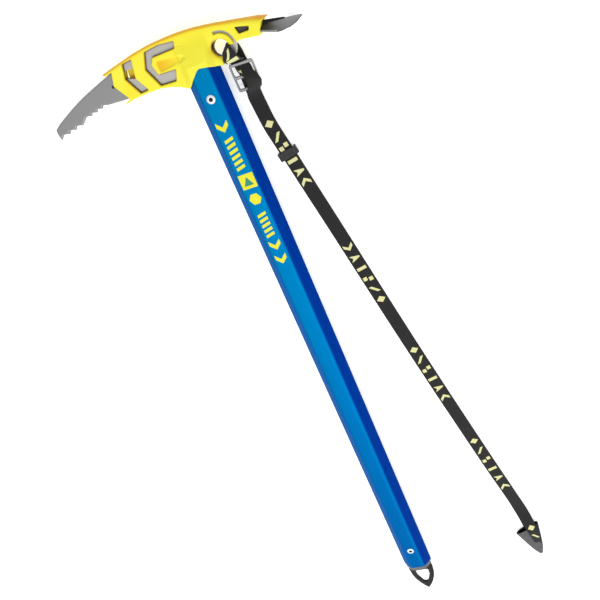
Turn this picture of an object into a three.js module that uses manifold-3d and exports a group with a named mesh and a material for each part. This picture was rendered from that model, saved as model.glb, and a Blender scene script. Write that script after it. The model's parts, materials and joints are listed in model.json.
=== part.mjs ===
// A walking ice axe with a wrist leash, laid on its side on the floor.
// Millimetres. Axe frame before it is laid down: X towards the adze, Y up the shaft to the head,
// Z across the head, and the origin in the shaft's middle at the head rivet.
import * as THREE from 'three';
import { mergeVertices } from 'three/addons/utils/BufferGeometryUtils.js';
import Module from 'manifold-3d';

const wasm = await Module();
wasm.setup();

// ---- driving dimensions ----
const GAP = 0.3;                    // clearance between pieces that touch
const STEEL = 4;                    // head and spike plate thickness
const TIP_Y = -677.4;               // point of the spike
const SHAFT_TOP_Y = 31;
const SHAFT_END_Y = -626.5;
const SHAFT_HALF_DEPTH = 11;        // the two wide flats
const SHAFT_FLAT_HALF = 8.5;
const SHAFT_CORNER_X = 18.4;        // the side corners before rounding
const SHAFT_WALL = 1.4;
const RIVET_RADIUS = 2.9;
const RIVET_BORE = 2;
const RIVET_FLANGE = 4.2;
const RIVET_RIM = SHAFT_HALF_DEPTH + GAP + 0.7;
const HEAD_RIVET_Y = 0;
const SPIKE_RIVET_Y = -596;
const HOLE = { x: 25.5, y: 37.3, inner: 7.25, collar: 12.2, slot: 14.8, ring: 14.1 };
const COVER_HALF = 5.4;             // half thickness of the plastic head cover
const SOCKET_WALL = 2;              // cover over the shaft's faces
const FLARE_HALF = 9.6;             // cover's half thickness where the adze leaves it
const NECK_HALF = 6.6;              // adze neck, half width
const ADZE_HALF = 27;               // adze cutting edge, half width
const ADZE_THICKNESS = 3;
const WEBBING = 14;
const WEBBING_THICKNESS = 1.3;
const BUCKLE = { length: 30, width: 23, thickness: 2.2, bar: 3, rail: 1.9 };
const KEEPER = { width: 20, length: 8, wall: 1.6 };

const DEG = Math.PI / 180;

// ---- materials ----
function finish(color, roughness, metalness) {
  return new THREE.MeshStandardMaterial({ color, roughness, metalness });
}

// ---- solids ----
function toSolid(geometry) {
  const bare = geometry.index ? geometry.toNonIndexed() : geometry.clone();
  bare.deleteAttribute('normal');
  bare.deleteAttribute('uv');
  const merged = mergeVertices(bare, 1e-4);
  return new wasm.Manifold(new wasm.Mesh({
    numProp: 3,
    vertProperties: Float32Array.from(merged.attributes.position.array),
    triVerts: Uint32Array.from(merged.index.array),
  }));
}

function toGeometry(solid) {
  const mesh = solid.getMesh();
  const geometry = new THREE.BufferGeometry();
  geometry.setAttribute('position', new THREE.BufferAttribute(mesh.vertProperties, 3));
  geometry.setIndex(new THREE.BufferAttribute(mesh.triVerts, 1));
  return geometry;
}

// An outline in X and Y, thickened from one height to another.
function slab(shape, low, high, curveSegments = 10) {
  const options = { depth: high - low, bevelEnabled: false, curveSegments };
  return toSolid(new THREE.ExtrudeGeometry(shape, options).translate(0, 0, low));
}

// An outline in X and Z, run along Y.
function alongY(shape, low, high, curveSegments = 4) {
  const options = { depth: high - low, bevelEnabled: false, curveSegments };
  const geometry = new THREE.ExtrudeGeometry(shape, options);
  const turn = new THREE.Matrix4().makeBasis(
    new THREE.Vector3(1, 0, 0), new THREE.Vector3(0, 0, 1), new THREE.Vector3(0, -1, 0));
  return toSolid(geometry.applyMatrix4(turn).translate(0, high, 0));
}

// An outline in Y and Z, run along X.
function alongX(shape, low, high) {
  const geometry = new THREE.ExtrudeGeometry(shape, { depth: high - low, bevelEnabled: false });
  const turn = new THREE.Matrix4().makeBasis(
    new THREE.Vector3(0, 1, 0), new THREE.Vector3(0, 0, 1), new THREE.Vector3(1, 0, 0));
  return toSolid(geometry.applyMatrix4(turn).translate(low, 0, 0));
}

function block(low, high) {
  const size = high.map((value, axis) => value - low[axis]);
  const geometry = new THREE.BoxGeometry(...size);
  return toSolid(geometry.translate(...low.map((value, axis) => value + size[axis] / 2)));
}

function outline(points) {
  return new THREE.Shape(points.map(([x, y]) => new THREE.Vector2(x, y)));
}

// A closed outline whose corners are rounded by the given reach along each side.
function softOutline(points, reach) {
  const corners = points.map(([x, y]) => new THREE.Vector2(x, y));
  const shape = new THREE.Shape();
  corners.forEach((corner, i) => {
    const before = corners[(i + corners.length - 1) % corners.length];
    const after = corners[(i + 1) % corners.length];
    const start = corner.clone().addScaledVector(before.clone().sub(corner).normalize(), reach);
    const end = corner.clone().addScaledVector(after.clone().sub(corner).normalize(), reach);
    if (i === 0) shape.moveTo(start.x, start.y);
    else shape.lineTo(start.x, start.y);
    shape.quadraticCurveTo(corner.x, corner.y, end.x, end.y);
  });
  return shape;
}

// The same outline moved outwards (or inwards, when the distance is negative).
function offset(points, distance) {
  return points.map(([x, y], i) => {
    const [px, py] = points[(i + points.length - 1) % points.length];
    const [nx, ny] = points[(i + 1) % points.length];
    const a = new THREE.Vector2(y - py, px - x).normalize();
    const b = new THREE.Vector2(ny - y, x - nx).normalize();
    const scale = distance / (1 + a.dot(b));
    return [x + (a.x + b.x) * scale, y + (a.y + b.y) * scale];
  });
}

function arcPoints(radius, from, to, steps) {
  return Array.from({ length: steps + 1 }, (unused, i) => {
    const angle = (from + (to - from) * i / steps) * DEG;
    return [HOLE.x + radius * Math.cos(angle), HOLE.y + radius * Math.sin(angle)];
  });
}

// A closed skin over rings of points, each ring going round the same way, with flat ends.
function loft(rings) {
  const count = rings[0].length;
  const positions = rings.flat(2);
  const index = [];
  for (let ring = 0; ring + 1 < rings.length; ring += 1) {
    for (let i = 0; i < count; i += 1) {
      const a = ring * count + i;
      const b = ring * count + (i + 1) % count;
      index.push(a, b, b + count, a, b + count, a + count);
    }
  }
  const last = (rings.length - 1) * count;
  for (let i = 1; i + 1 < count; i += 1) {
    index.push(0, i + 1, i);
    index.push(last, last + i, last + i + 1);
  }
  const geometry = new THREE.BufferGeometry();
  geometry.setAttribute('position', new THREE.Float32BufferAttribute(positions, 3));
  geometry.setIndex(index);
  return toSolid(geometry);
}

// Flat webbing through stations [x, y, z, width, yaw of the width in degrees].
function ribbon(stations, steps) {
  const route = new THREE.CatmullRomCurve3(stations.map(([x, y, z]) => new THREE.Vector3(x, y, z)));
  const spans = stations.length - 1;
  const rings = Array.from({ length: steps + 1 }, (unused, i) => {
    const t = i / steps;
    const span = Math.min(Math.floor(t * spans), spans - 1);
    const mix = t * spans - span;
    const width = THREE.MathUtils.lerp(stations[span][3], stations[span + 1][3], mix);
    const yaw = THREE.MathUtils.lerp(stations[span][4], stations[span + 1][4], mix) * DEG;
    const centre = route.getPoint(t);
    const across = new THREE.Vector3(Math.cos(yaw), Math.sin(yaw), 0);
    const up = new THREE.Vector3().crossVectors(across, route.getTangent(t)).normalize();
    return [[-1, -1], [1, -1], [1, 1], [-1, 1]].map(([side, face]) => centre.clone()
      .addScaledVector(across, side * width / 2)
      .addScaledVector(up, face * WEBBING_THICKNESS / 2)
      .toArray());
  });
  const solid = loft(rings);
  return solid.volume() > 0 ? solid : loft(rings.reverse());
}

// ---- shaft ----
const HEXAGON = [
  [SHAFT_CORNER_X, 0], [SHAFT_FLAT_HALF, SHAFT_HALF_DEPTH], [-SHAFT_FLAT_HALF, SHAFT_HALF_DEPTH],
  [-SHAFT_CORNER_X, 0], [-SHAFT_FLAT_HALF, -SHAFT_HALF_DEPTH], [SHAFT_FLAT_HALF, -SHAFT_HALF_DEPTH],
];

function hexagon(grow, reach = 3) {
  return softOutline(offset(HEXAGON, grow), reach);
}

function rivetHole(y, radius) {
  const drill = new THREE.CylinderGeometry(radius, radius, 60, 24).rotateX(Math.PI / 2).translate(0, y, 0);
  return toSolid(drill);
}

function shaftTube() {
  return alongY(hexagon(0), SHAFT_END_Y, SHAFT_TOP_Y)
    .subtract(alongY(hexagon(-SHAFT_WALL, 2.2), SHAFT_END_Y - 1, SHAFT_TOP_Y + 1))
    .subtract(rivetHole(HEAD_RIVET_Y, RIVET_RADIUS + GAP))
    .subtract(rivetHole(SPIKE_RIVET_Y, RIVET_RADIUS + GAP));
}

// Two half blocks hold a steel tang in the middle of the tube.
function filler(lowY, highY, rivetY, side) {
  const half = block([-30, lowY - 1, STEEL / 2 + GAP], [30, highY + 1, 30]);
  const whole = alongY(hexagon(-SHAFT_WALL - GAP, 2.2), lowY, highY).intersect(half)
    .subtract(rivetHole(rivetY, RIVET_RADIUS + GAP));
  return side > 0 ? whole : whole.mirror([0, 0, 1]);
}

function spikePlug(side) {
  const collar = alongY(hexagon(-0.5), SHAFT_END_Y - 5, SHAFT_END_Y - GAP)
    .intersect(block([-30, SHAFT_END_Y - 9, STEEL / 2 + GAP], [30, SHAFT_END_Y, 30]));
  const stem = filler(SHAFT_END_Y - 1, SPIKE_RIVET_Y + 14, SPIKE_RIVET_Y, 1);
  const whole = collar.add(stem);
  return side > 0 ? whole : whole.mirror([0, 0, 1]);
}

// A tube with a turned-over rim at both ends.
function hollowRivet(y) {
  const face = SHAFT_HALF_DEPTH + GAP;
  const rim = RIVET_RIM;
  const wall = [
    [RIVET_BORE, -rim], [RIVET_FLANGE - 0.6, -rim], [RIVET_FLANGE, -face - 0.3], [RIVET_FLANGE, -face],
    [RIVET_RADIUS, -face], [RIVET_RADIUS, face], [RIVET_FLANGE, face], [RIVET_FLANGE, face + 0.3],
    [RIVET_FLANGE - 0.6, rim], [RIVET_BORE, rim], [RIVET_BORE, -rim],
  ];
  const geometry = new THREE.LatheGeometry(wall.map(([x, z]) => new THREE.Vector2(x, z)), 24);
  return toSolid(geometry.rotateX(Math.PI / 2).translate(0, y, 0));
}

// ---- head ----
const PICK_TOP = [
  [-161.6, 24.1], [-154, 28.2], [-147.1, 31.2], [-137, 35.6], [-126.5, 39.7], [-117, 42.9],
  [-108.5, 45.4], [-94.5, 49.4], [-82.4, 52.7], [-60, 57.2], [-41, 59.6], [-24, 60],
];
const TEETH = [
  { x: -157.2, y: 15.4, count: 3, pitch: 8.4, depth: 1.9 },
  { x: -126, y: 23.4, count: 4, pitch: 6.9, depth: 1.7 },
];
const TEETH_SLOPE = 0.19;

// Each tooth hooks back towards the hand: a long shallow back, then a short steep face.
function teeth({ x, y, count, pitch, depth }) {
  return Array.from({ length: count }, (unused, i) => {
    const left = x + i * pitch;
    const root = y + i * pitch * TEETH_SLOPE;
    return [[left, root + depth], [left + pitch * 0.5, root + depth * 0.75], [left + pitch * 0.82, root]];
  }).flat();
}

const NOTCH = { inner: 14.2, outer: 18, top: SHAFT_TOP_Y + GAP, low: -9, foot: -15 };

function bladeOutline() {
  return [
    ...[...PICK_TOP].reverse(),
    [-162.2, 20], [-161.3, 13],
    ...teeth(TEETH[0]), ...teeth(TEETH[1]), [-97.8, 27.4], [-93, 27], [-84, 26.2], [-76, 26], [-40, 26.4],
    [-24, 25], [-NOTCH.outer, 25], [-NOTCH.outer, NOTCH.top], [-NOTCH.inner, NOTCH.top],
    [-NOTCH.inner, NOTCH.low], [-10, NOTCH.foot], [10, NOTCH.foot], [NOTCH.inner, NOTCH.low],
    [NOTCH.inner, NOTCH.top], [NOTCH.outer, NOTCH.top],
    ...arcPoints(HOLE.ring, -122, 10.5, 16),
    [64, 39.6], [72, 38.6], [86, 37.2], [88.6, 38.4], [87.6, 40.8], [77.5, 43.2], [66.8, 45.5],
    [57, 49.3], [37, 53.6], [16, 57.4], [-1, 59.7],
  ];
}

function headBlade() {
  const lock = softOutline([[-72.3, 43.4], [-60, 39.6], [-58.6, 47.2], [-61.5, 49.6], [-70.6, 49.2]], 1.6);
  const eye = new THREE.Path().absarc(HOLE.x, HOLE.y, HOLE.inner, 0, Math.PI * 2, true);
  const plate = outline(bladeOutline());
  plate.holes.push(eye);
  const pocket = outline([[-87.2, 41.8], [-87.2, 39.8], [-76, 38.8], [-76, 41.2]]);
  return slab(plate, -STEEL / 2, STEEL / 2, 16)
    .subtract(slab(lock, -STEEL, STEEL))
    .subtract(slab(pocket, STEEL / 2 - 1.2, STEEL))
    .subtract(slab(pocket, -STEEL, 1.2 - STEEL / 2))
    .subtract(rivetHole(HEAD_RIVET_Y, RIVET_RADIUS + GAP));
}

// Height of the adze's crest, its droop at the sides and its half width, along X.
function adzeSection(x) {
  const along = THREE.MathUtils.clamp((x - 60) / 38, 0, 1);
  return {
    crest: 43.7 - 0.105 * (x - 60) - 0.00115 * (x - 60) ** 2,
    droop: THREE.MathUtils.lerp(5, 4.4, along) + 2.6 * Math.sin(Math.PI * along) ** 2,
    half: NECK_HALF + (ADZE_HALF - NECK_HALF) * THREE.MathUtils.smoothstep(x, 62, 98),
  };
}

function adze() {
  const stations = 14;
  const columns = 16;
  const start = 59;
  const rings = Array.from({ length: stations + 1 }, (unused, i) => {
    const upper = [];
    const lower = [];
    for (let j = 0; j <= columns; j += 1) {
      const t = 2 * j / columns - 1;
      const end = 102.4 - 4.6 * t * t;
      const x = start + (end - start) * i / stations;
      const { crest, droop, half } = adzeSection(x);
      const y = crest - droop * Math.abs(t) ** 2.1;
      const ground = 0.7 * THREE.MathUtils.smoothstep(i / stations, 0.75, 1);
      const thickness = ADZE_THICKNESS * (1 - ground) * (1 - 0.5 * t ** 4);
      upper.push([x, y, half * t]);
      lower.push([x, y - thickness, (half - 1.4 * (1 - i / stations)) * t]);
    }
    return [...upper, ...lower.reverse()];
  });
  const solid = loft(rings);
  const whole = solid.volume() > 0 ? solid : loft(rings.reverse());
  const slot = STEEL / 2 + GAP;
  return whole.subtract(block([50, 30, -slot], [89, 60, slot]));
}

// ---- head cover ----
const COVER_TOP = [
  [74.5, 47.3], [66, 50], [56.9, 52.1], [46, 54.5], [36.7, 56.2], [27, 58.2], [16, 60], [7, 61.4],
  [-1.2, 62.2], [-12, 62.8], [-24.2, 62.8], [-33, 62.7], [-41, 62.3], [-54, 60.8], [-70, 58], [-90, 54.2],
];

function coverOutline() {
  const { inner, collar, slot } = HOLE;
  return outline([
    [-84.2, 22.2], [-79, 22.6], [-70, 24], [-57, 24.4], [-42.5, 24], [-32, 21.6], [-24, 18.6],
    [-16.4, 14.4], [-12, 17.4], [-1, 27.4], [1.6, 28.4], [9.4, 27], [14.5, 24.6], [19, 23.4],
    arcPoints(slot, -103, -103, 1)[0],
    ...arcPoints(inner + 0.1, -103, -365, 30),
    ...arcPoints(collar, -365, -262, 14),
    ...arcPoints(slot, -262, -361, 14),
    [44, 37.4], [50.2, 36.7], [58, 35.6], [64.1, 34.7], [65.3, 39], [69.3, 45.2],
    ...COVER_TOP,
    [-87.5, 51.8], [-80.3, 53], [-84.2, 41], [-74.8, 25.6],
  ]);
}

function coverBody() {
  const plan = slab(coverOutline(), GAP / 2, 20);
  const plate = block([-100, 0, 0], [80, 70, COVER_HALF]);
  const socket = alongY(hexagon(SOCKET_WALL), 10, 62)
    .intersect(alongX(outline([[5, 0], [62, 0], [62, 2], [32, 13.1], [5, 13.1]]), -30, 30));
  const bell = outline([[44, 0], [80, 0], [80, FLARE_HALF], [63, FLARE_HALF], [48, COVER_HALF]]);
  const flare = alongY(bell, 30, 60);
  return plate.add(socket).add(flare).intersect(plan);
}

function coverWindows() {
  const front = [
    [[-67.4, 56], [-57, 56.9], [-59, 49.1], [-61, 40.2], [-53.9, 27.1], [-62.5, 26.6],
      [-70.9, 43.3], [-68.9, 49.4]],
    [[-42.6, 58.3], [-28.2, 59.5], [-12.4, 57.5], [-14.3, 51.5], [-37.6, 51.5], [-41.3, 45.6], [-38.8, 36],
      [-21.3, 34.9], [-25.3, 25.2], [-41.2, 26.3], [-48.6, 43.9]],
    [[44, 48.9], [57, 45.4], [55.6, 42.2], [45.6, 42.4]],
  ];
  return front.map((points) => slab(outline(points), -1, 20)).reduce((all, one) => all.add(one));
}

// The snap tongue carries a shallow thumb recess.
function thumbRecess() {
  return slab(outline([[-34.4, 46], [-12, 43], [-12, 41], [-34.4, 38.6]]), COVER_HALF - 1, 20);
}

function headCover(side) {
  const neckRoom = block([58.5, 33, -1], [80, 44.6, NECK_HALF + 0.7]);
  const room = alongY(hexagon(GAP), -10, SHAFT_TOP_Y + GAP);
  const whole = coverBody()
    .subtract(slab(outline(offset(bladeOutline(), GAP)), -1, STEEL / 2 + GAP))
    .subtract(neckRoom)
    .subtract(room)
    .subtract(coverWindows())
    .subtract(thumbRecess());
  return side > 0 ? whole : whole.mirror([0, 0, 1]);
}

// ---- spike ----
function spike() {
  const neck = SHAFT_END_Y - 5;
  const point = outline([
    [-11, SPIKE_RIVET_Y + 13], [-11, neck - GAP], [-15.2, neck - GAP], [-15.4, -640], [-14.4, -650],
    [-12.4, -657.5], [-9.2, -664.6], [-5, -671.4], [0, TIP_Y], [5, -671.4], [9.2, -664.6], [12.4, -657.5],
    [14.4, -650], [15.4, -640], [15.2, neck - GAP], [11, neck - GAP], [11, SPIKE_RIVET_Y + 13],
  ].reverse());
  const eye = softOutline([
    [-8.6, -642], [-8.2, -652], [-2.6, -662.6], [2.6, -662.6], [8.2, -652], [8.6, -642],
  ], 2.4);
  return slab(point, -STEEL / 2, STEEL / 2)
    .subtract(slab(eye, -STEEL, STEEL))
    .subtract(rivetHole(SPIKE_RIVET_Y, RIVET_RADIUS + GAP));
}

// ---- leash: X and Y from the hole in the head, Z up from the floor ----
const LOOP_ROUTE = [
  [9.7, -24.4, 14.1, WEBBING, -3], [9.2, -21.6, 13.6, WEBBING, -3], [8.2, -19, 13.8, WEBBING, -2],
  [7.4, -16.8, 14.6, WEBBING, 0], [6.6, -15.5, 17.6, WEBBING, 1], [6.1, -15.2, 21, WEBBING, 2],
  [5.4, -13.9, 24.2, WEBBING, 5], [4.9, -12.2, 25.8, 13.6, 9], [4, -9.6, 26.9, 13.6, 18],
  [3.4, -6.6, 27.4, 13.2, 34], [2.6, -3.8, 27, 11, 44], [2.3, -2.3, 24.4, 10.8, 45],
  [2.3, -2.3, 17.6, 11.2, 45], [2.7, -2.7, 15.4, 10.8, 46], [3.8, -4, 13.6, 12, 50],
  [6.4, -5.8, 13, 13, 52], [8.6, -7.8, 12.8, WEBBING, 46], [8.6, -11.6, 12.2, WEBBING, 28],
  [8.2, -16, 11, WEBBING, 10], [8.6, -21, 9.2, WEBBING, 2], [9.2, -25, 7.6, WEBBING, 0],
  [9.3, -28, 6.6, WEBBING, -2],
];
const FRONT_ROUTE = [
  [9.7, -24.9, 14.4, WEBBING, -3], [10.8, -27.6, 15.6, WEBBING, -6], [13, -31, 17, WEBBING, -10],
  [14.6, -35, 17.2, WEBBING, -10], [14.4, -39, 15, WEBBING, -6], [12.6, -42.6, 12, WEBBING, 0],
  [10, -46, 9, WEBBING, 3], [8.6, -49.6, 6.8, WEBBING, 5], [8.3, -54, 5.2, WEBBING, 6.5],
  [9, -64, 4.4, WEBBING, 9], [10.6, -82, 4.3, WEBBING, 10.5], [16.6, -114, 4.3, WEBBING, 10.5],
  [24, -154, 3.9, WEBBING, 10.5], [30.9, -191, 3, WEBBING, 10.5], [55, -321, 2.7, WEBBING, 10.8],
  [71, -404, 2.7, WEBBING, 11.2], [87.5, -486, 2.7, WEBBING, 11.6], [101.5, -554, 2.7, WEBBING, 12.2],
  [111.8, -601, 2.7, WEBBING, 12.4], [118.4, -632, 3.2, WEBBING, 12.4], [121.6, -647.5, 7, 13.4, 12.2],
  [123.6, -658.5, 10.3, 13, 11], [124.9, -668, 10.4, 12, 9], [125.7, -676, 9.9, 10.4, 7],
  [126.2, -682, 9.4, 9, 5],
];
const BACK_ROUTE = [
  [9.3, -28.5, 6.3, WEBBING, -2], [9, -34, 4.5, WEBBING, 0], [8.6, -41, 3.1, WEBBING, 2],
  [8.3, -52, 2.6, WEBBING, 6], [9, -64, 2.6, WEBBING, 9], [10.6, -82, 2.6, WEBBING, 10.5],
  [16.6, -114, 2.6, WEBBING, 10.5], [24, -154, 2.2, WEBBING, 10.5], [30.9, -191, 1.3, WEBBING, 10.5],
  [55, -321, 1, WEBBING, 10.8], [71, -404, 1, WEBBING, 11.2], [87.5, -486, 1, WEBBING, 11.6],
  [101.5, -554, 1, WEBBING, 12.2], [113.9, -613, 1, WEBBING, 11.6], [117.3, -632, 1.1, WEBBING, 10],
  [119.3, -644, 1.6, WEBBING, 8.6], [120.6, -655, 2.9, 13.2, 8], [121.6, -665, 3.8, 12.6, 8],
];
const TAIL_ROUTE = [
  [7.6, -50, 0.9, WEBBING, 6], [8.2, -64, 0.9, WEBBING, 9], [10.3, -82, 0.9, WEBBING, 10.5],
  [16.3, -114, 0.9, WEBBING, 10.5], [21.1, -140, 0.9, WEBBING, 10.5],
];

// Three-bar slide: the webbing goes up through one slot and down over the other bars.
function buckle() {
  const { length, width, thickness, bar, rail } = BUCKLE;
  const slot = (length - 3 * bar) / 2;
  const frame = slab(softOutline([
    [-width / 2, -length / 2], [width / 2, -length / 2], [width / 2, length / 2], [-width / 2, length / 2],
  ], 2), -thickness / 2, thickness / 2, 3);
  const side = width / 2 - rail;
  const open = (low) => slab(softOutline([
    [-side, low], [side, low], [side, low + slot], [-side, low + slot],
  ], 0.8), -thickness, thickness, 3);
  return frame.subtract(open(bar / 2)).subtract(open(-bar / 2 - slot));
}

function keeper() {
  const { width, length, wall } = KEEPER;
  const high = 6.7;
  const half = width / 2;
  const inner = half - wall - 0.6;
  const ring = softOutline([[-half, 0], [half, 0], [half, high], [-half, high]], 1.2);
  const room = outline([[-inner, 0], [inner, 0], [inner, high - 1.4], [-inner, high - 1.4]]);
  return alongY(ring, -length / 2, length / 2, 3).subtract(alongY(room, -length, length));
}

// A flattened hollow cone: wide mouth towards the axe, rounded point at the far end.
function coneRings(lengths, shrink) {
  return lengths.map((along) => {
    const taper = Math.sqrt(Math.max(0, 1 - along ** 6));
    const half = (15.4 - 11.2 * along) * taper - shrink;
    const height = (4.4 - 1.5 * along) * taper - shrink * 0.8;
    return Array.from({ length: 20 }, (unused, i) => {
      const angle = i / 20 * Math.PI * 2;
      const x = half * Math.sign(Math.cos(angle)) * Math.abs(Math.cos(angle)) ** 0.8;
      return [x, -49 * along + 0.2 * x * (1 - along), 4.5 + height * Math.sin(angle)];
    });
  });
}

function endCone() {
  const outer = loft(coneRings([0, 0.2, 0.4, 0.6, 0.78, 0.9, 0.96, 0.99], 0));
  const mouth = loft(coneRings([-0.05, 0, 0.12, 0.24, 0.36], 1.4));
  return outer.subtract(mouth);
}

// ---- assembly ----
function piece(name, solid, material) {
  const mesh = new THREE.Mesh(toGeometry(solid), material);
  mesh.name = name;
  return mesh;
}

const STEEL_GREY = [0x969696, 0.45, 0.9];
const YELLOW = [0xf6e02c, 0.42, 0];
const PLUG_GREY = [0x6d6f72, 0.6, 0];
const BRIGHT = [0xd8dadc, 0.25, 1];
const BLACK_WEB = [0x262527, 0.9, 0];
const BLACK_PLASTIC = [0x242426, 0.5, 0];

const axe = new THREE.Group();
axe.add(
  piece('head_blade', headBlade(), finish(...STEEL_GREY)),
  piece('adze', adze(), finish(...STEEL_GREY)),
  piece('head_cover_near', headCover(1), finish(...YELLOW)),
  piece('head_cover_far', headCover(-1), finish(...YELLOW)),
  piece('shaft_tube', shaftTube(), finish(0x0a74be, 0.35, 0.6)),
  piece('head_spacer_near', filler(-24, 24, HEAD_RIVET_Y, 1), finish(...PLUG_GREY)),
  piece('head_spacer_far', filler(-24, 24, HEAD_RIVET_Y, -1), finish(...PLUG_GREY)),
  piece('head_rivet', hollowRivet(HEAD_RIVET_Y), finish(...BRIGHT)),
  piece('spike', spike(), finish(0x3a3b3d, 0.5, 0.8)),
  piece('spike_plug_near', spikePlug(1), finish(...PLUG_GREY)),
  piece('spike_plug_far', spikePlug(-1), finish(...PLUG_GREY)),
  piece('spike_rivet', hollowRivet(SPIKE_RIVET_Y), finish(...BRIGHT)),
);

// The axe lies on three points: the adze's corner, the pick's tip and the lower rivet's rim.
const adzeCorner = new THREE.Vector3(97.8, 34, -ADZE_HALF);
const pickTip = new THREE.Vector3(-161.3, 13, -STEEL / 2);
const rivetRim = new THREE.Vector3(0.6 - RIVET_FLANGE, SPIKE_RIVET_Y, -RIVET_RIM);
const floorNormal = new THREE.Plane().setFromCoplanarPoints(adzeCorner, pickTip, rivetRim).normal;
if (floorNormal.z < 0) floorNormal.negate();
axe.quaternion.setFromUnitVectors(floorNormal, new THREE.Vector3(0, 0, 1));
axe.updateMatrixWorld(true);
const box = new THREE.Box3().setFromObject(axe, true);
const middle = box.getCenter(new THREE.Vector3());
axe.position.set(-middle.x, -middle.y, -box.min.z);
axe.updateMatrixWorld(true);

const hole = axe.localToWorld(new THREE.Vector3(HOLE.x, HOLE.y, 0));
const leash = new THREE.Group();
leash.position.set(hole.x, hole.y, 0);
leash.add(
  piece('leash_head_loop', ribbon(LOOP_ROUTE, 44), finish(...BLACK_WEB)),
  piece('leash_front_leg', ribbon(FRONT_ROUTE, 72), finish(...BLACK_WEB)),
  piece('leash_back_leg', ribbon(BACK_ROUTE, 54), finish(...BLACK_WEB)),
  piece('leash_tail', ribbon(TAIL_ROUTE, 12), finish(...BLACK_WEB)),
);

const slide = piece('leash_buckle', buckle(), finish(0xa2a2a4, 0.35, 0.9));
slide.rotation.order = 'ZXY';
slide.rotation.set(24 * DEG, 0, -4 * DEG);
slide.position.set(8.6, -31.3, 11.8);
const keeperPiece = piece('leash_keeper', keeper(), finish(...BLACK_PLASTIC));
keeperPiece.rotation.z = 10.5 * DEG;
keeperPiece.position.set(16.6, -114, 0);
const cone = piece('leash_end_cone', endCone(), finish(0x5b5b60, 0.55, 0));
cone.rotation.z = 9 * DEG;
cone.position.set(118, -660, 0);
leash.add(slide, keeperPiece, cone);

const iceAxe = new THREE.Group();
iceAxe.add(axe, leash);
iceAxe.updateMatrixWorld(true);

export default iceAxe;
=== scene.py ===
import json
import math

import bpy
import numpy as np
from mathutils import Matrix, Vector


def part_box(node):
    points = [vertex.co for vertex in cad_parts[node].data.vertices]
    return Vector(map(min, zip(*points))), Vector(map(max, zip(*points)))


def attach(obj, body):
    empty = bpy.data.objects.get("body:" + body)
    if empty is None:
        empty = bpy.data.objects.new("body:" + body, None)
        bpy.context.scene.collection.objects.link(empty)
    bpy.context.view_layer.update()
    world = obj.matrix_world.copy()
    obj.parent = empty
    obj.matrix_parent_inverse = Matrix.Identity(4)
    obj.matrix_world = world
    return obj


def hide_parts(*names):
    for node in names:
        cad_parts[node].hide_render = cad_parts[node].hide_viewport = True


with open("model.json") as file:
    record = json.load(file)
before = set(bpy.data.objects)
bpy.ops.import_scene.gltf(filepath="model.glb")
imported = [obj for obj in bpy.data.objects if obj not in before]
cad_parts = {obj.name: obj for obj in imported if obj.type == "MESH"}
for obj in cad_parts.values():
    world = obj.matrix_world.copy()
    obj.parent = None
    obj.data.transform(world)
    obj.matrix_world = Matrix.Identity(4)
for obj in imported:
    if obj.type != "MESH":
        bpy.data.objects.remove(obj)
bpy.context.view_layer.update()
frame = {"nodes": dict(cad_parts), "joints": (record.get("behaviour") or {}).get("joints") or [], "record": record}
record = frame["record"]
MM = 0.001


# ---- the axe's own frame: X to the adze, Y up the shaft, Z across the head, origin at the head rivet ----
def middle(node):
    low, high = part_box(node)
    return (low + high) / 2


def axe_frame():
    head = middle("head_rivet")
    along = (head - middle("spike_rivet")).normalized()
    mount = next(m for m in record["mounts"] if m["name"] == "cover_front_face")
    side = along.cross(Vector(mount["axis"])).normalized()
    out = Matrix((side, along, side.cross(along))).transposed().to_4x4()
    out.translation = head
    return out


AXE = axe_frame()
SWING = next(j for j in frame["joints"] if j["name"] == "leash_swing")
LEASH = Matrix.Translation((SWING["pos_m"][0], SWING["pos_m"][1], 0))


# ---- camera ----
CAMERA_PLACE = Vector((220.6, 90.7, 650.6)) * MM
CAMERA_LOOK = Vector((-0.29608, -0.41594, -0.85985)).normalized()
CAMERA_UP = Vector((0.25813, 0.83187, -0.49128))


def make_camera():
    """The photograph's camera, placed in the axe's own frame."""
    data = bpy.data.cameras.new("camera")
    data.sensor_width = 36
    data.lens = 43.2
    data.clip_start = 0.02
    camera = bpy.data.objects.new("camera", data)
    bpy.context.scene.collection.objects.link(camera)
    right = CAMERA_LOOK.cross(CAMERA_UP).normalized()
    pose = Matrix((right, right.cross(CAMERA_LOOK), -CAMERA_LOOK)).transposed().to_4x4()
    pose.translation = CAMERA_PLACE
    camera.matrix_world = AXE @ pose
    bpy.context.scene.camera = camera


make_camera()


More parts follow.
